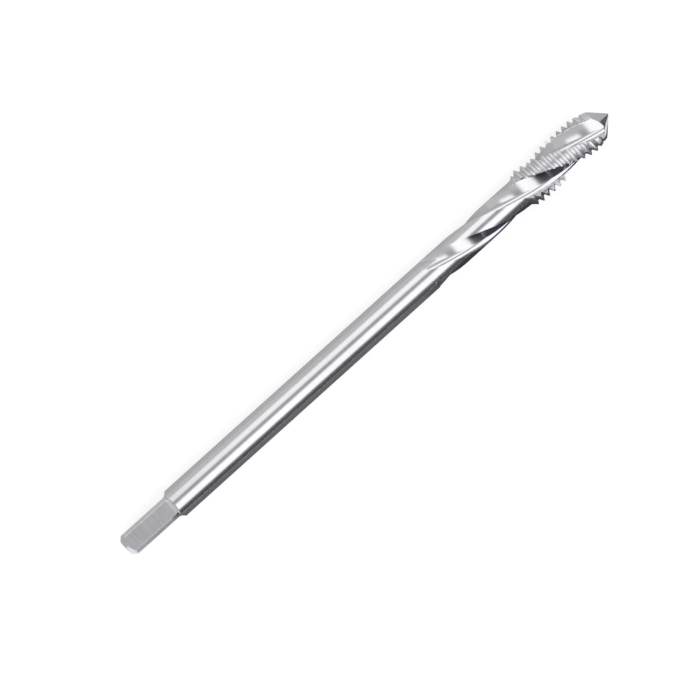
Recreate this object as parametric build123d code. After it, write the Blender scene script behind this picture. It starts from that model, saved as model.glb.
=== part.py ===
from build123d import *
import os
from math import acos, cos, degrees, radians, sin, sqrt, tan

# A long shank machine tap for an M6 x 1 thread, ground from one bar of high-speed steel.
# It lies along +X: the drive square starts at the origin and the point is at +X.
# The flats of the square face up, down and to both sides. Millimetres and degrees.

# Shank, and the neck that tapers a little from it to the thread
tap_length = 89.0
shank_diameter = 4.5
neck_lead = 0.5
neck_taper_angle = 0.15

# Drive square
square_across_flats = 3.4
square_length = 8.3
square_corner_diameter = 4.16
square_runout_radius = 0.85
end_face_diameter = 2.3

# Thread, a single right-hand start with 60 degree flanks
thread_diameter = 6.0
thread_pitch = 1.0
thread_depth = 0.613
thread_flank_angle = 30.0
thread_length = 13.9
back_bevel_angle = 40.0
first_groove_angle = 104.0

# Lead chamfer, where the teeth grow to full height
lead_length = 2.6
lead_angle = 14.0

# Male centre at the point
point_angle = 90.0
point_flat_diameter = 0.25

# Flutes, on a right-hand helix
flute_count = 3
flute_length = 33.1
flute_lead = 36.8
flute_runout_radius = 10.0
first_edge_angle = 3.0
rake_angle = 8.0
rake_face_depth = 0.53
rake_foot_radius = 0.2
crease_radius = 1.81
crease_angle = 48.0
heel_round_radius = 0.75
heel_foot_radius = 2.21
heel_foot_angle = 71.0
heel_top_angle = 73.0

# How far a cutting shape reaches past the steel that it removes
overrun = 1.0
groove_overrun = 0.05
core_clearance = 0.003

# Sizes that follow
shank_radius = shank_diameter / 2
corner_radius = square_corner_diameter / 2
thread_radius = thread_diameter / 2
thread_root_radius = thread_radius - thread_depth
lead_end_radius = thread_radius - lead_length * tan(radians(lead_angle))
point_length = (lead_end_radius - point_flat_diameter / 2) / tan(radians(point_angle / 2))
lead_end = tap_length - point_length
thread_start = lead_end - thread_length
flute_start = tap_length - flute_length
neck_start = flute_start - neck_lead
neck_end_radius = shank_radius - (thread_start - neck_start) * tan(radians(neck_taper_angle))
flute_angle = heel_foot_angle
land_angle = 360 / flute_count - flute_angle
land_middle_angle = first_edge_angle - land_angle / 2


def polar(radius, angle):
    """The point of a section at a radius and an angle about the axis."""
    return (radius * cos(radians(angle)), radius * sin(radians(angle)))


def turned_blank():
    """The bar before any cut: square, shank, neck, head, lead chamfer and male centre.

    The end chamfer and the shoulder behind the square slope at 45 degrees.
    """
    end_radius = end_face_diameter / 2
    shoulder = square_length + square_runout_radius / 2
    bevel_length = (thread_radius - neck_end_radius) / tan(radians(back_bevel_angle))
    outline = Polyline(
        (0, 0),
        (0, end_radius),
        (corner_radius - end_radius, corner_radius),
        (shoulder, corner_radius),
        (shoulder + shank_radius - corner_radius, shank_radius),
        (neck_start, shank_radius),
        (thread_start, neck_end_radius),
        (thread_start + bevel_length, thread_radius),
        (lead_end - lead_length, thread_radius),
        (lead_end, lead_end_radius),
        (tap_length, point_flat_diameter / 2),
        (tap_length, 0),
        close=True,
    )
    return revolve(Plane.XZ * make_face(outline), Axis.X)


def square_flats():
    """The four cuts of the drive square, each leaving the shank on the wheel's radius."""
    flat = square_across_flats / 2
    top = shank_radius + overrun
    side = make_face(
        [
            Polyline(
                (square_length, flat),
                (-overrun, flat),
                (-overrun, top),
                (square_length + square_runout_radius, top),
                (square_length + square_runout_radius, flat + square_runout_radius),
            ),
            JernArc((square_length, flat), (1, 0), square_runout_radius, 90),
        ]
    )
    cut = extrude(Plane.XZ * side, amount=top, both=True)
    return [Rot(turn, 0, 0) * cut for turn in (0, 90, 180, 270)]


def groove_run():
    """A short run of the groove between the teeth, centred over +Y at the origin.

    A 60 degree notch carried along the thread's helix, far enough to cross one land.
    """
    slope = tan(radians(thread_flank_angle))
    crest_width = thread_pitch / 8
    mouth_radius = thread_radius + groove_overrun
    mouth_half = (thread_pitch - crest_width) / 2 + groove_overrun * slope
    root_half = mouth_half - (mouth_radius - thread_root_radius) * slope
    run_angle = land_angle + flute_angle
    run_length = thread_pitch * run_angle / 360
    start = -run_length / 2
    helix = Helix(
        thread_pitch,
        run_length,
        thread_root_radius,
        center=(start, 0, 0),
        direction=(1, 0, 0),
    )
    notch = Polyline(
        (start - root_half, thread_root_radius),
        (start + root_half, thread_root_radius),
        (start + mouth_half, mouth_radius),
        (start - mouth_half, mouth_radius),
        close=True,
    )
    run = sweep(Plane.XZ * make_face(notch), path=helix, is_frenet=True)
    return Rot(-90 - run_angle / 2, 0, 0) * run


def thread_grooves():
    """The groove wherever it crosses a land: a run for each turn and each land."""
    groove_twist = 360 / thread_pitch
    land_twist = 360 / flute_lead
    run = groove_run()
    runs = []
    for land in range(flute_count):
        land_at_start = land_middle_angle + land * 360 / flute_count
        land_at_start += land_twist * (thread_start - flute_start)
        ahead = (land_at_start - first_groove_angle) % 360
        turn = 0
        place = thread_start + ahead / (groove_twist - land_twist)
        while place < lead_end + thread_pitch / 2:
            angle = first_groove_angle + groove_twist * (place - thread_start)
            runs.append(Pos(place, 0, 0) * Rot(angle, 0, 0) * run)
            turn += 1
            place = thread_start + (ahead + turn * 360) / (groove_twist - land_twist)
    return runs


def flute_floor():
    """The rake face, its rounded foot and the flat floor, from outside the bar to the crease."""
    outer = thread_radius + overrun
    lean = tan(radians(rake_angle))
    return FilletPolyline(
        (outer, (outer - thread_radius) * lean),
        (thread_radius - rake_face_depth, -rake_face_depth * lean),
        polar(crease_radius, crease_angle),
        radius=rake_foot_radius,
    )


def flute_section():
    """One flute square to the axis: rake face, flat floor, crease and a rounded heel."""
    floor = flute_floor()
    heel = RadiusArc(floor @ 1, polar(heel_foot_radius, heel_foot_angle), -heel_round_radius)
    side = Polyline(heel @ 1, polar(thread_radius + overrun, heel_top_angle), floor @ 0)
    return make_face([*floor.edges(), heel, *side.edges()])


def flute_runout():
    """The steel left standing where the wheel leaves the shank, as a flared collar.

    The wheel's circle cuts the shank at the start of the flute and touches the core, just
    inside the floors.
    """
    wheel = flute_runout_radius
    core = flute_floor().distance_to(Vertex(0, 0, 0)) - core_clearance
    reach = sqrt(wheel**2 - (wheel + core - shank_radius) ** 2)
    arc_end = flute_start + reach
    top = shank_radius + overrun
    sweep = degrees(acos(1 - (top - core) / wheel))
    arc = JernArc((arc_end, core), (-1, 0), wheel, -sweep)
    collar = make_face([arc, *Polyline(arc @ 1, ((arc @ 1).X, 0), (arc_end, 0), arc @ 0).edges()])
    return revolve(Plane.XZ * collar, Axis.X)


def flute_cutter(index):
    """One flute's cutter, twisted along the axis from the run-out to past the point."""
    length = flute_length + overrun
    turn = first_edge_angle + index * 360 / flute_count
    section = Plane(origin=(flute_start, 0, 0), x_dir=(0, 1, 0), z_dir=(1, 0, 0))
    face = (section * Rot(0, 0, turn) * flute_section()).face()
    return Solid.extrude_linear_with_rotation(
        face, (flute_start, 0, 0), (length, 0, 0), 360 * length / flute_lead
    )


def tap():
    """The finished tap: blank, square, flutes, then the thread on the lands."""
    runout = flute_runout()
    flutes = [flute_cutter(index) - runout for index in range(flute_count)]
    return turned_blank() - square_flats() - flutes - thread_grooves()


os.makedirs("parts", exist_ok=True)
export_step(tap(), "parts/tap.step")
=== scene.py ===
import math

import bmesh
import bpy
import numpy as np
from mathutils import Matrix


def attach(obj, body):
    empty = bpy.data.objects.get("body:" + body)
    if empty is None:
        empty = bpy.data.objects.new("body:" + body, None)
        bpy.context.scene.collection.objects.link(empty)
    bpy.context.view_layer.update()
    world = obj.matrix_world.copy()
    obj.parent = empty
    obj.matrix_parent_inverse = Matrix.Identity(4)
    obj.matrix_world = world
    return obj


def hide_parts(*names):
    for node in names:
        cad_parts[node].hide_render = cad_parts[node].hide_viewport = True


# A long shank machine tap, lying on a pale floor with its point at +X.
# Lengths are in millimetres until mesh_from_grid turns them into metres, and angles in degrees.
# An angle about the axis runs from +Y towards +Z.

MM = 0.001

# Shank, and the neck that tapers a little from it to the thread
tap_length = 89.0
shank_radius = 2.25
neck_lead = 0.5
neck_taper_angle = 0.15

# Drive square
square_half = 1.7
square_length = 8.3
corner_radius = 2.08
square_runout = 0.85
end_radius = 1.15

# Thread
thread_radius = 3.0
thread_pitch = 1.0
thread_depth = 0.613
thread_flank_angle = 30.0
thread_length = 13.9
back_bevel_angle = 40.0
first_groove_angle = 104.0

# Lead chamfer and male centre
lead_length = 2.6
lead_angle = 14.0
point_angle = 90.0
point_radius = 0.125

# Flutes, on a right-hand helix
flute_count = 3
flute_length = 33.1
flute_lead = 36.8
flute_wheel_radius = 10.0
first_edge_angle = 3.0
rake_angle = 8.0
rake_face_depth = 0.53
rake_foot_radius = 0.2
crease_radius = 1.81
crease_angle = 48.0
heel_round_radius = 0.75
heel_foot_radius = 2.21
heel_foot_angle = 71.0
heel_top_angle = 73.0

# Close points along the section of a flute, and how far it is carried past the crests
foot_points = 40
line_points = 120
heel_points = 80
rake_reach = 0.6
heel_reach = 1.0

# Divisions of one land and one flute round the axis
land_steps = 12
rake_steps = 5
foot_steps = 4
floor_steps = 14
heel_low_steps = 8
heel_high_steps = 2

# Divisions of one flat and one corner of the square. Round the axis they come to as many
# columns as the shank has.
flat_steps = 22
corner_steps = 5

# Rows along the axis, and where the columns start and stop turning from square to flutes
shank_rows = 60
runout_rows = 50
neck_rows = 96
point_rows = 60
turn_from = 11.0
turn_short = 5.0

# A radius outside the steel, which stands for no cut
no_cut = 10.0

# Points closer than this in metres are one, and an edge that turns by more than this in
# degrees is left sharp
weld_distance = 2e-7
sharp_angle = 12

# Steel: tones of its patches, of the painted highlight on the crests of the thread and of
# the lighter cutting edges, and the share of the crests' painted highlight at the roots
steel_tones = [
    (0.30, (0.60, 0.61, 0.635, 1)),
    (0.5, (0.66, 0.67, 0.69, 1)),
    (0.7, (0.715, 0.72, 0.735, 1)),
]
crest_highlight_tone = (0.88, 0.88, 0.895, 1)
edge_tone = (0.84, 0.84, 0.85, 1)
root_highlight_share = 0.5

# Light: angle from overhead towards -Y, and the room's tone there
room_tones = [
    (-180, (0.66, 0.66, 0.66)),
    (-95, (0.72, 0.72, 0.72)),
    (-60, (0.68, 0.67, 0.66)),
    (46, (0.62, 0.61, 0.62)),
    (54, (0.30, 0.30, 0.31)),
    (62, (0.12, 0.12, 0.13)),
    (80, (0.070, 0.070, 0.080)),
    (92, (0.080, 0.080, 0.090)),
    (180, (0.20, 0.20, 0.21)),
]
# Panels: middle, half width and edge in angle, from, to and edge in slant, and tone
light_panels = [
    (-8.0, 12.0, 6.0, -8.0, 76.0, 4.0, (0.43, 0.425, 0.455)),
    (-39.0, 18.5, 6.0, -4.0, 76.0, 2.5, (1.46, 1.44, 1.43)),
    (28.0, 22.0, 5.0, -76.0, 76.0, 6.0, (1.50, 1.46, 1.46)),
    (86.0, 30.0, 5.0, -76.0, -9.0, 4.0, (0.02, 0.02, 0.03)),
    (70.0, 22.0, 5.0, 11.0, 76.0, 3.0, (1.50, 1.50, 1.60)),
]
# Stage, in metres: the floor's half side, and the cards' reach from the tap's middle, width
# and height above the floor
floor_half = 4
card_reach = 1.2
card_width = 0.3
card_lift = 0.00002
floor_white = (0.45, 0.45, 0.45)
floor_glow = 0.68
# The grey card's tone, seen only in reflections as a painted grey reflection
grey_card_tone = (0.60, 0.60, 0.60)
# Dark cards, seen only in reflections, where they paint a dark reflection on the tap's side
# towards -Y: from and to along the tap in millimetres, and tone
dark_cards = [
    (0.3, 54.0, (0.19, 0.19, 0.195)),
    (54.0, 59.0, (0.13, 0.13, 0.14)),
    (59.0, 90.0, (0.06, 0.06, 0.07)),
    (95.0, 1200.0, (0.10, 0.10, 0.11)),
]

# Sizes that follow
thread_root = thread_radius - thread_depth
lead_end_radius = thread_radius - lead_length * math.tan(math.radians(lead_angle))
point_length = (lead_end_radius - point_radius) / math.tan(math.radians(point_angle / 2))
lead_end = tap_length - point_length
thread_start = lead_end - thread_length
flute_start = tap_length - flute_length
flute_period = 360 / flute_count
neck_start = flute_start - neck_lead
neck_end_radius = shank_radius - (thread_start - neck_start) * math.tan(math.radians(neck_taper_angle))
bevel_length = (thread_radius - neck_end_radius) / math.tan(math.radians(back_bevel_angle))
land_angle = flute_period - heel_foot_angle
flute_steps = rake_steps + foot_steps + floor_steps + heel_low_steps + heel_high_steps


def turned_radius(x):
    """Radius of the turned blank along the axis, from the corners of the square to the point."""
    shoulder = square_length + square_runout / 2
    stations = [
        (0, end_radius),
        (corner_radius - end_radius, corner_radius),
        (shoulder, corner_radius),
        (shoulder + shank_radius - corner_radius, shank_radius),
        (neck_start, shank_radius),
        (thread_start, neck_end_radius),
        (thread_start + bevel_length, thread_radius),
        (lead_end - lead_length, thread_radius),
        (lead_end, lead_end_radius),
        (tap_length, point_radius),
    ]
    return np.interp(x, *np.array(stations).T)


def thread_surface(x, angle):
    """Radius left by the groove between the teeth.

    d is the distance along the axis to the middle of the groove at that angle. The groove is
    flat for d under its half width at the root and rises on the flank at 1 / tan(flank angle).
    """
    slope = math.tan(math.radians(thread_flank_angle))
    root_half = (thread_pitch - thread_pitch / 8) / 2 - thread_depth * slope
    turns = (x - thread_start) / thread_pitch - (angle - first_groove_angle) / 360
    d = np.abs(turns - np.round(turns)) * thread_pitch
    return np.clip(thread_root + (d - root_half) / slope, thread_root, thread_radius)


def outer_radius(x, angle):
    """The turned blank, less the groove between the teeth along the head."""
    turned = turned_radius(x)
    return np.where(x > thread_start, np.minimum(turned, thread_surface(x, angle)), turned)


def flute_floor():
    """The section of a flute from above the cutting edge to the crease.

    The rake face is a line that leans by the rake angle, and the floor is a line from its foot
    to the crease. Both touch the rounded foot, an arc whose centre is one radius from each.
    Returns the way along, radius and angle of close points, and where the foot begins and ends.
    """
    lean = math.radians(rake_angle)
    corner = np.array([thread_radius - rake_face_depth, -rake_face_depth * math.tan(lean)])
    crease_turn = math.radians(crease_angle)
    crease = crease_radius * np.array([math.cos(crease_turn), math.sin(crease_turn)])
    up = np.array([math.cos(lean), math.sin(lean)])
    on = (crease - corner) / np.linalg.norm(crease - corner)
    half = math.acos(up @ on) / 2
    trim = rake_foot_radius / math.tan(half)
    middle = (up + on) / np.linalg.norm(up + on)
    centre = corner + middle * rake_foot_radius / math.sin(half)
    first = corner + up * trim - centre
    turn = np.linspace(0, -(math.pi - 2 * half), foot_points)[:, None]
    side = np.array([-first[1], first[0]])
    foot = centre + np.cos(turn) * first + np.sin(turn) * side
    share = np.linspace(0, 1, line_points)[:, None]
    top = corner + up * (thread_radius + rake_reach - corner[0])
    rake = top + (foot[0] - top) * share[:-1]
    floor = foot[-1] + (crease - foot[-1]) * share[1:]
    points = np.vstack([rake, foot, floor])
    way = np.concatenate([[0], np.cumsum(np.linalg.norm(np.diff(points, axis=0), axis=1))])
    radius = np.linalg.norm(points, axis=1)
    angle = np.degrees(np.arctan2(points[:, 1], points[:, 0]))
    return way, radius, angle, way[len(rake)], way[len(rake) + len(foot) - 1]


def flute_heel():
    """Radius and angle up the heel, from the crease round an arc to its foot and on to its top.

    The arc bulges outwards. Its centre is one radius from the crease and from the foot.
    """
    crease = crease_radius * np.exp(1j * math.radians(crease_angle))
    foot = heel_foot_radius * np.exp(1j * math.radians(heel_foot_angle))
    top = (thread_radius + heel_reach) * np.exp(1j * math.radians(heel_top_angle))
    half = abs(foot - crease) / 2
    inward = 1j * (foot - crease) / abs(foot - crease)
    centre = (crease + foot) / 2 + inward * math.sqrt(heel_round_radius**2 - half**2)
    turn = 2 * math.asin(half / heel_round_radius)
    arc = centre + (crease - centre) * np.exp(1j * turn * np.linspace(0, 1, heel_points))
    side = foot + (top - foot) * np.linspace(0, 1, heel_points)[1:]
    points = np.concatenate([arc, side])
    return np.abs(points), np.degrees(np.angle(points))


def runout_end():
    """Core radius, and the place along the axis where the wheel's circle touches the core."""
    core = flute_floor()[1].min()
    reach = math.sqrt(flute_wheel_radius**2 - (flute_wheel_radius + core - shank_radius) ** 2)
    return core, flute_start + reach


def runout_radius(x):
    """Radius of the steel that the grinding wheel leaves where it comes out of the shank.

    The wheel's circle, from the core up to the shank, and before the flute's start no cut.
    """
    core, end = runout_end()
    back = np.clip(end - x, 0, end - flute_start)
    arc = core + flute_wheel_radius - np.sqrt(flute_wheel_radius**2 - back**2)
    return np.where(x < flute_start, no_cut, np.where(x < end, arc, 0.0))


def head_stations():
    """Places along the head of the rows that run with the thread.

    Seen along a land, a turn of the thread takes a little over a pitch, because the land
    turns with the flutes. Each row stands on a crest, a root or an edge of one of the lands.
    """
    turn = thread_pitch / (1 - thread_pitch / flute_lead)
    middle = first_edge_angle - land_angle / 2 + 360 * (thread_start - flute_start) / flute_lead
    first = thread_start + turn * (middle - first_groove_angle) / 360
    parts = 48
    marks = np.array([0, 4, 5, 8, 11, 12, 16, 20, 21, 24, 27, 28, 32, 36, 37, 40, 43, 44]) / parts
    fine = np.arange(0, parts, 2) / parts
    turns = np.arange(-3, 18)[:, None]
    plain = (first + turn * (turns + marks)).ravel()
    close = (first + turn * (turns + fine)).ravel()
    bevel_stop = thread_start + bevel_length + 0.3
    lead_begin = lead_end - lead_length - 0.1
    ends = (close < bevel_stop) | (close > lead_begin)
    rows = np.unique(np.round(np.concatenate([plain, close[ends]]), 6))
    end_gap, least_step = 0.01, 0.004
    rows = rows[(rows > thread_start + end_gap) & (rows < lead_end - end_gap)]
    return rows[np.concatenate([[True], np.diff(rows) > least_step])]


def fluted_rows(stations, thread_share):
    """x, angle and radius of the grid from the shank to the point, one row for each station.

    Round the axis, each flute has its rake face, rounded foot, floor, lower heel and upper
    heel, then comes the land. All turn with the flutes. A row of the thread leans along a land,
    as the thread does, by a pitch in a full turn, and leans back across the flute.
    thread_share is 1 on such rows and 0 on rows square to the axis.
    """
    way, floor_r, floor_a, foot_on, foot_off = flute_floor()
    inward = floor_r.argmin() + 1
    wall_r, wall_a, wall_way = floor_r[:inward][::-1], floor_a[:inward][::-1], way[:inward][::-1]
    heel_r, heel_a = flute_heel()
    heel_y, heel_z = heel_r * np.cos(np.radians(heel_a)), heel_r * np.sin(np.radians(heel_a))
    heel_way = np.concatenate([[0], np.cumsum(np.hypot(np.diff(heel_y), np.diff(heel_z)))])
    station = stations[:, None]
    lean = thread_share[:, None] * thread_pitch / (1 - thread_pitch / flute_lead) / 360
    half_land = land_angle / 2
    across = np.linspace(half_land, -half_land, flute_steps + 1)[None, :-1]
    along = np.linspace(-half_land, half_land, land_steps + 1)[None, :-1]
    left = runout_radius(station)
    xs, angles, radii = [], [], []
    for index in range(flute_count):
        turn = first_edge_angle + index * flute_period
        x_flute = station + lean * across
        x_land = station + lean * along
        x_end = station + lean * half_land
        spin_flute = turn + 360 * (x_flute - flute_start) / flute_lead
        spin_land = turn + 360 * (x_land - flute_start) / flute_lead
        spin_end = turn + 360 * (x_end - flute_start) / flute_lead

        def edge(x, spin, table_r, table_a, offset):
            """Radius and angle where the outside meets a flute's wall, found in four steps."""
            radius = turned_radius(x)
            for _ in range(4):
                wall = np.interp(radius, table_r, table_a)
                radius = outer_radius(x, spin + offset + wall)
            return radius, wall + offset

        top_r, top_a = edge(x_flute[:, :1], spin_flute[:, :1], wall_r, wall_a, 0)
        heel_top_r, heel_top_a = edge(x_land[:, :1], spin_land[:, :1], heel_r, heel_a, 0)
        end_r, end_a = edge(x_end, spin_end, wall_r, wall_a, flute_period)

        begin = np.interp(top_r, wall_r, wall_way)
        foot_from = np.maximum(begin, foot_on)
        floor_from = np.maximum(begin, foot_off)
        way_rake = begin + (foot_from - begin) * np.arange(rake_steps) / rake_steps
        way_foot = foot_from + (floor_from - foot_from) * np.arange(foot_steps) / foot_steps
        way_floor = floor_from + (way[-1] - floor_from) * np.arange(floor_steps) / floor_steps
        way_wall = np.hstack([way_rake, way_foot, way_floor])
        r_wall = np.interp(way_wall, way, floor_r)
        a_wall = np.interp(way_wall, way, floor_a)

        finish = np.interp(np.maximum(heel_top_r, crease_radius), heel_r, heel_way)
        round_to = np.minimum(finish, heel_way[heel_points - 1])
        way_round = round_to * np.arange(heel_low_steps) / heel_low_steps
        way_side = round_to + (finish - round_to) * np.arange(heel_high_steps) / heel_high_steps
        way_heel = np.hstack([way_round, way_side])
        r_heel = np.interp(way_heel, heel_way, heel_r)
        a_heel = np.interp(way_heel, heel_way, heel_a)

        r_flute = np.hstack([r_wall, r_heel])
        a_flute = np.hstack([a_wall, a_heel])
        limit = outer_radius(x_flute, spin_flute + a_flute)
        limit[:, :1] = top_r
        r_flute = np.minimum(np.maximum(r_flute, left), limit)

        a_land = heel_top_a + (end_a - heel_top_a) * np.arange(land_steps) / land_steps
        r_land = outer_radius(x_land, spin_land + a_land)
        r_land[:, :1] = heel_top_r

        xs += [x_flute, x_land]
        angles += [spin_flute + a_flute, spin_land + a_land]
        radii += [r_flute, r_land]
    return np.hstack(xs), np.hstack(angles), np.hstack(radii)


def square_angles():
    """Angles round the drive square: even steps across each flat and over each corner."""
    half = math.degrees(math.acos(square_half / corner_radius))
    across = np.linspace(-1, 1, flat_steps + 1) * math.tan(math.radians(half))
    flat = np.degrees(np.arctan(across))[:-1]
    corner = np.linspace(half, 90 - half, corner_steps + 1)[:-1]
    quarter = np.concatenate([flat, corner])
    return np.concatenate([quarter + 90 * turn for turn in range(4)])


def square_rows():
    """x, angle and radius of the grid over the drive square, from the end face to the shank.

    Rows follow the real edges. On the chamfer they run from the end face to where the cone
    meets a flat or a corner, and behind the square to where the wheel's arc meets the blank.
    """
    angle = square_angles()
    widest = np.maximum(np.abs(np.cos(np.radians(angle))), np.abs(np.sin(np.radians(angle))))
    side = np.minimum(square_half / widest, corner_radius)

    def wheel(x):
        """Radius of the flat and of the arc behind it, over each angle."""
        behind = np.clip(x - square_length, 0, square_runout)
        return (square_half + square_runout - np.sqrt(square_runout**2 - behind**2)) / widest

    def cut(x):
        return np.minimum(wheel(x), turned_radius(x))

    fine_steps = 400
    fine = np.linspace(square_length, square_length + square_runout, fine_steps)[:, None]
    above = wheel(fine) >= turned_radius(fine)
    meets = np.where(above.any(axis=0), fine[above.argmax(axis=0), 0], square_length)
    shoulder = square_length + square_runout / 2
    rise = shoulder + shank_radius - corner_radius
    keys = [
        (np.zeros_like(angle), 10),
        (side - end_radius, 3),
        (np.full_like(angle, corner_radius - end_radius + 0.05), 8),
        (np.full_like(angle, square_length), 14),
        (meets, 5),
        (np.maximum(meets, shoulder), 4),
        (np.maximum(meets, rise), 3),
        (np.full_like(angle, square_length + square_runout + 0.05), 1),
    ]
    rows_x = []
    for (start, steps), (stop, _) in zip(keys, keys[1:]):
        share = np.arange(steps)[:, None] / steps
        rows_x.append(start + (stop - start) * share)
    rows_x.append(keys[-1][0][None, :])
    x = np.vstack(rows_x)
    chamfer = np.where(x < square_length, np.minimum(side, end_radius + x), no_cut)
    return x, np.broadcast_to(angle, x.shape), np.minimum(cut(x), chamfer)


def tap_grid():
    """The whole outside of the tap as one grid of x, angle and radius, closed round the axis.

    The columns of the square run on along the shank and turn there into those of the flutes.
    Those of the rake face and its foot have no width before the flutes begin.
    """
    square_x, square_a, square_r = square_rows()
    inside = np.arange(flute_count * (flute_steps + land_steps)) % (flute_steps + land_steps)
    kept = (inside == 0) | (inside > rake_steps + foot_steps)
    slot = np.cumsum(kept) - 1

    shank = np.linspace(square_length + square_runout + 0.6, flute_start, shank_rows)
    runout = np.linspace(flute_start + 0.004, runout_end()[1], runout_rows)
    neck = np.linspace(runout_end()[1], thread_start, neck_rows)[1:]
    thread = head_stations()
    point = np.linspace(lead_end, tap_length, point_rows)
    stations = np.concatenate([[flute_start], runout, neck, thread, point])
    plain = 1 + len(runout) + len(neck)
    threaded = np.repeat([False, True, False], [plain, len(thread), len(point)])
    ramp = np.clip(np.minimum((stations - thread_start) / 0.25, (lead_end - stations) / 0.4), 0, 1)
    x, a, r = fluted_rows(stations, threaded * ramp)

    first_row = a[0][kept]
    square_row = square_a[0]
    count = len(square_row)

    def started_at(shift):
        """The square's columns in the order that starts at shift, and the turn added to each."""
        return np.roll(np.arange(count), -shift), np.where(np.arange(count) >= count - shift, 360, 0)

    tries = []
    for shift in range(count):
        order, wrap = started_at(shift)
        turned = square_row[order] + wrap
        offset = np.round(np.mean(first_row - turned) / 360) * 360
        tries.append((np.abs(first_row - turned - offset).max(), shift, offset))
    _, shift, offset = min(tries)
    order, wrap = started_at(shift)
    wrap = wrap + offset
    pick = order[slot]
    start_angles = (square_row[order] + wrap)[slot]
    turn_to = flute_start - turn_short
    blend = np.clip((shank - turn_from) / (turn_to - turn_from), 0, 1)[:, None]
    shank_a = start_angles + (a[0] - start_angles) * blend
    shank_x = np.broadcast_to(shank[:, None], shank_a.shape)
    shank_r = np.full(shank_a.shape, shank_radius)
    square_angle = (square_a[:, order] + wrap)[:, slot]
    grid_x = np.vstack([square_x[:, pick], shank_x, x[1:]])
    grid_a = np.vstack([square_angle, shank_a, a[1:]])
    grid_r = np.vstack([square_r[:, pick], shank_r, r[1:]])
    return grid_x, grid_a, grid_r, inside


def mesh_from_grid(name, x, angle, radius, attributes):
    """Puts the grid into a mesh in metres: (x, r cos angle, r sin angle), with both ends closed."""
    rows, columns = x.shape
    y = radius * np.cos(np.radians(angle))
    z = radius * np.sin(np.radians(angle))
    points = np.stack([x, y, z], axis=2).reshape(-1, 3)
    points = np.vstack([points, [[x[0, 0], 0, 0], [x[-1, 0], 0, 0]]]) * MM
    i = np.arange(rows - 1)[:, None] * columns
    j = np.arange(columns)[None, :]
    k = (j + 1) % columns
    quads = np.stack([i + j, i + k, i + columns + k, i + columns + j], axis=2).reshape(-1, 4)
    last = (rows - 1) * columns
    head = np.stack([np.full(columns, rows * columns), k[0], j[0]], axis=1)
    tail = np.stack([np.full(columns, rows * columns + 1), last + j[0], last + k[0]], axis=1)
    mesh = bpy.data.meshes.new(name)
    mesh.from_pydata(points, [], quads.tolist() + head.tolist() + tail.tolist())
    for key, values in attributes.items():
        layer = mesh.attributes.new(key, "FLOAT", "POINT")
        layer.data.foreach_set("value", np.append(values.ravel(), [0.0, 0.0]).astype(np.float32))
    work = bmesh.new()
    work.from_mesh(mesh)
    bmesh.ops.remove_doubles(work, verts=work.verts, dist=weld_distance)
    work.to_mesh(mesh)
    work.free()
    mesh.shade_smooth()
    mesh.set_sharp_from_angle(angle=math.radians(sharp_angle))
    piece = bpy.data.objects.new(name, mesh)
    bpy.context.scene.collection.objects.link(piece)
    return piece


class Shade:
    """A shader socket that can be used in sums, and that makes any other node."""

    def __init__(self, tree, socket=None):
        self.tree = tree
        self.socket = socket

    def node(self, kind, output=0, settings=None, stops=None, **inputs):
        """Adds a node: its type, then its settings and ramp stops, then values or links.

        A socket is named with _ for a blank, or by its number after an i. A wrapped socket is
        linked to the first input where nothing else is named.
        """
        made = self.tree.nodes.new(kind)
        for key, value in (settings or {}).items():
            setattr(made, key, value)
        if stops:
            ramp = made.color_ramp
            while len(ramp.elements) < len(stops):
                ramp.elements.new(1.0)
            for element, (place, colour) in zip(ramp.elements, stops):
                element.position = place
                element.color = colour
        if self.socket is not None:
            inputs = {"i0": self, **inputs}
        for key, value in inputs.items():
            place = int(key[1:]) if key[0] == "i" and key[1:].isdigit() else key.replace("_", " ")
            if isinstance(value, Shade):
                self.tree.links.new(value.socket, made.inputs[place])
            else:
                made.inputs[place].default_value = value
        return Shade(self.tree, None if output is None else made.outputs[output])

    def outputs(self, *names):
        """Other outputs of the same node."""
        return [Shade(self.tree, self.socket.node.outputs[name]) for name in names]

    def mix(self, first, second):
        """The first colour where this is 0 and the second where it is 1."""
        return self.node(
            "ShaderNodeMix", output=2, settings={"data_type": "RGBA"}, i0=self, i6=first, i7=second
        )

    def math(self, operation, *values):
        inputs = {f"i{place}": value for place, value in enumerate(values)}
        return Shade(self.tree).node("ShaderNodeMath", settings={"operation": operation}, **inputs)

    def __add__(self, other):
        return self.math("ADD", self, other)

    def __sub__(self, other):
        return self.math("SUBTRACT", self, other)

    def __mul__(self, other):
        return self.math("MULTIPLY", self, other)

    def __truediv__(self, other):
        return self.math("DIVIDE", self, other)

    def __rsub__(self, other):
        return self.math("SUBTRACT", other, self)

    __radd__ = __add__
    __rmul__ = __mul__


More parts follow.
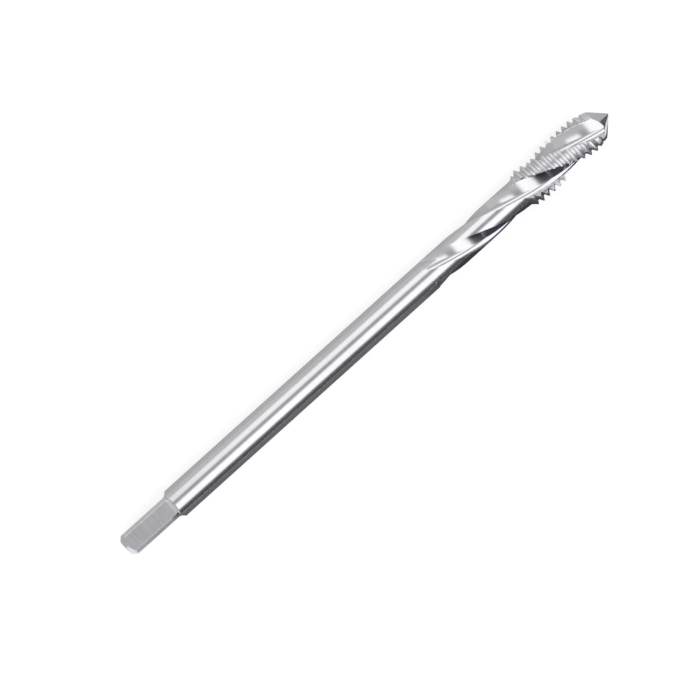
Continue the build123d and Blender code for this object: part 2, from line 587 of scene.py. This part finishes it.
def ground_steel():
    """Bright ground high-speed steel.

    Grinding marks run round the turned surfaces and along the flutes. They show in the
    roughness and a faint bump, and the colour varies a little in soft patches. The thread is
    painted lighter, most at its crests, as a painted highlight; the cutting edges are lighter
    in colour, and the square's corners are scuffed.
    """
    material = bpy.data.materials.new("ground_steel")
    material.use_nodes = True
    tree = material.node_tree
    tree.nodes.clear()
    s = Shade(tree)
    place = s.node("ShaderNodeTexCoord", output="Object")
    in_flute, across, edge, thread, scuff = [
        s.node("ShaderNodeAttribute", output="Fac", settings={"attribute_name": name})
        for name in ("flute", "across", "edge", "thread", "scuff")
    ]

    turned_place = place.node("ShaderNodeMapping", Scale=(9000.0, 260.0, 260.0))
    turned_marks = turned_place.node("ShaderNodeTexNoise", Scale=1.0, Detail=3.0)
    along = place.node("ShaderNodeSeparateXYZ")
    flute_place = s.node("ShaderNodeCombineXYZ", X=along * 150.0, Y=across * 11.0, Z=0.0)
    flute_marks = flute_place.node("ShaderNodeTexNoise", Scale=1.0, Detail=3.0)
    marks = turned_marks + (flute_marks - turned_marks) * in_flute

    patches = place.node("ShaderNodeTexNoise", Scale=420.0, Detail=2.0)
    wide = place.node("ShaderNodeTexNoise", Scale=60.0, Detail=1.0)
    tone = marks * 0.35 + patches * 0.3 + wide * 0.35
    colour = tone.node("ShaderNodeValToRGB", stops=steel_tones)
    # Painted highlight: the thread lighter in colour, most at its crests
    highlighted_colour = (thread * 0.8).mix(colour, crest_highlight_tone)
    # Lighter colour along the cutting edges
    edged_colour = (edge * 0.5).mix(highlighted_colour, edge_tone)
    roughness = 0.12 + marks * 0.10 + patches * 0.04 + thread * 0.20 + scuff * 0.26
    bump = s.node("ShaderNodeBump", Strength=0.08, Distance=2e-5, Height=marks)
    steel = s.node(
        "ShaderNodeBsdfPrincipled",
        Base_Color=edged_colour,
        Metallic=1.0,
        Roughness=roughness,
        Normal=bump,
    )
    s.node("ShaderNodeOutputMaterial", output=None, Surface=steel)
    return material


def ground_tap():
    """The tap as one closed piece.

    Its attributes say where the flutes, cutting edges, thread and scuffed corners are.
    """
    x, angle, radius, column = tap_grid()
    in_flute = (column > 0) & (column < flute_steps)
    in_head = x > flute_start + 0.05
    cut = in_head & (radius < turned_radius(x) - 0.01)
    flute = np.where(in_flute[None, :] & cut, 1.0, 0.0)
    across = np.broadcast_to(column[None, :] * 1.0, x.shape)
    rim = (column == 0) | (column == flute_steps)
    edge = np.where(rim[None, :] & in_head, 1.0, 0.0)
    on_land = (column == 0) | (column >= flute_steps)
    height = np.clip((radius - thread_root) / thread_depth, 0, 1)
    on_thread = on_land[None, :] & (x > thread_start) & (x < lead_end)
    # The thread's share of the painted highlight: full at the crests, less towards the roots
    thread = np.where(on_thread, root_highlight_share + (1 - root_highlight_share) * height, 0.0)
    y, z = radius * np.cos(np.radians(angle)), radius * np.sin(np.radians(angle))
    corner_from, chamfer_stop = 1.15, 0.3
    corner = np.minimum(np.abs(y), np.abs(z)) > corner_from
    scuff = np.where(corner & (x < square_length) & (x > chamfer_stop), 1.0, 0.0)
    marks = {"flute": flute, "across": across, "edge": edge, "thread": thread, "scuff": scuff}
    piece = mesh_from_grid("ground_tap", x, angle, radius, marks)
    piece.data.materials.append(ground_steel())
    return piece


def plain_material(name, colour, roughness):
    """A plain painted or paper surface for the stage."""
    material = bpy.data.materials.new(name)
    material.use_nodes = True
    shader = material.node_tree.nodes["Principled BSDF"]
    shader.inputs["Base Color"].default_value = (*colour, 1)
    shader.inputs["Roughness"].default_value = roughness
    shader.inputs["Specular IOR Level"].default_value = 0.0
    return material


def white_floor():
    """A pale floor that glows to the camera and in reflections, so that it shows white there.

    The glow lights nothing else, and the tap's shadow stays on the floor.
    """
    material = plain_material("white_floor", floor_white, 0.9)
    tree = material.node_tree
    shader = tree.nodes["Principled BSDF"]
    rays = Shade(tree).node("ShaderNodeLightPath")
    camera_ray, glossy_ray, clear_ray = rays.outputs(
        "Is Camera Ray", "Is Glossy Ray", "Is Transmission Ray"
    )
    seen = Shade(tree).math("MINIMUM", camera_ray + glossy_ray + clear_ray, 1.0)
    glow = seen.mix((0, 0, 0, 1), (floor_glow, floor_glow, floor_glow, 1))
    tree.links.new(glow.socket, shader.inputs["Emission Color"])
    shader.inputs["Emission Strength"].default_value = 1.0
    return material


def sheet(name, x_from, x_to, y_from, y_to, height, material):
    """A flat stage card that faces up, between two places along x and two along y, in metres."""
    corners = [
        (x_from, y_from, height),
        (x_to, y_from, height),
        (x_to, y_to, height),
        (x_from, y_to, height),
    ]
    mesh = bpy.data.meshes.new(name)
    mesh.from_pydata(corners, [], [(0, 1, 2, 3)])
    card = bpy.data.objects.new(name, mesh)
    bpy.context.scene.collection.objects.link(card)
    mesh.materials.append(material)
    return card


def fade(value, middle, half, start, end):
    """Goes smoothly from start to end while the value passes from middle - half to middle + half."""
    smooth = {"interpolation_type": "SMOOTHSTEP"}
    return value.node(
        "ShaderNodeMapRange", settings=smooth, i1=middle - half, i2=middle + half, i3=start, i4=end
    )


def panel(angle, slant, middle, half_width, edge, slant_from, slant_to, slant_edge):
    """1 inside a panel and 0 outside it, in angles from the tap, with soft edges."""
    off = angle.math("ABSOLUTE", angle - middle)
    wide = fade(off, half_width, edge, 1.0, 0.0)
    after = fade(slant, slant_from, slant_edge, 0.0, 1.0)
    before = fade(slant, slant_to, slant_edge, 1.0, 0.0)
    return wide * after * before


def studio_light():
    """The light round the tap: a plain grey room with bright, grey and dark soft panels.

    A direction is given by its angle from overhead round the tap, positive towards -Y, and by
    its slant towards the point. The room darkens towards -Y, where the tap's dark band is.
    """
    world = bpy.data.worlds.new("soft_light")
    world.use_nodes = True
    tree = world.node_tree
    tree.nodes.clear()
    s = Shade(tree)
    way = s.node("ShaderNodeTexCoord", output="Generated").node("ShaderNodeSeparateXYZ")
    x, y, z = way.outputs("X", "Y", "Z")
    angle = s.math("ARCTAN2", 0.0 - y, z) * (180 / math.pi)
    slant = s.math("ARCSINE", x) * (180 / math.pi)
    room = (angle / 360.0 + 0.5).node(
        "ShaderNodeValToRGB", stops=[(place / 360 + 0.5, (*colour, 1)) for place, colour in room_tones]
    )
    light = room
    for *edges, tone in light_panels:
        light = panel(angle, slant, *edges).mix(light, (*tone, 1))
    shade = s.node("ShaderNodeBackground", Color=light, Strength=1.0)
    s.node("ShaderNodeOutputWorld", output=None, Surface=shade)
    return world


def studio():
    """A white floor under soft light, with a grey card on one side of the tap and dark on the other.

    Only reflections see the cards: they throw no shadow or light on the floor. They are painted
    reflections, grey on the tap's side towards +Y and dark on its side towards -Y.
    """
    scene = bpy.context.scene
    scene.view_settings.view_transform = "Standard"
    scene.world = studio_light()

    low = -thread_radius * MM
    lift = low + card_lift
    middle = tap_length / 2 * MM
    sheet("floor", -floor_half, floor_half, -floor_half, floor_half, low, white_floor())

    # Cards seen only in reflections: painted reflections, grey towards +Y and dark towards -Y
    grey = plain_material("grey_card", grey_card_tone, 0.9)
    ends = (middle - card_reach, middle + card_reach)
    cards = [sheet("grey_card", *ends, 0, card_width, lift, grey)]
    for place, (start, stop, tone) in enumerate(dark_cards):
        name = f"dark_card_{place + 1}"
        dark = plain_material(name, tone, 0.9)
        cards.append(sheet(name, start * MM, stop * MM, -card_width, 0, lift, dark))
    for card in cards:
        card.visible_camera = False
        card.visible_diffuse = False
        card.visible_shadow = False


def camera():
    """Straight down on the tap, turned so that the point is at the upper right."""
    lens, sensor, view_width = 250.0, 36.0, 96.06
    across, aside, turn = 41.02, -0.377, -42.0
    data = bpy.data.cameras.new("camera")
    data.lens = lens
    data.sensor_width = sensor
    seat = bpy.data.objects.new("camera", data)
    seat.location = (across * MM, aside * MM, view_width * lens / sensor * MM)
    seat.rotation_euler = (0, 0, math.radians(turn))
    data.clip_start, data.clip_end = 0.01, 20.0
    bpy.context.scene.collection.objects.link(seat)
    bpy.context.scene.camera = seat


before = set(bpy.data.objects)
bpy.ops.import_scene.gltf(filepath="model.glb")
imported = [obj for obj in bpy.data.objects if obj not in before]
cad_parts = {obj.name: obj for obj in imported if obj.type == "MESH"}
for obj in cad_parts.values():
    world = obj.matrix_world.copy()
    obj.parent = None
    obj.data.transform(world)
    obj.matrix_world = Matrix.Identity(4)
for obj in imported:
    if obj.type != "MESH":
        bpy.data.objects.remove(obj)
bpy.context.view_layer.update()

tap = ground_tap()
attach(tap, "root")
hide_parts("tap")
studio()
camera()

bpy.context.view_layer.update()
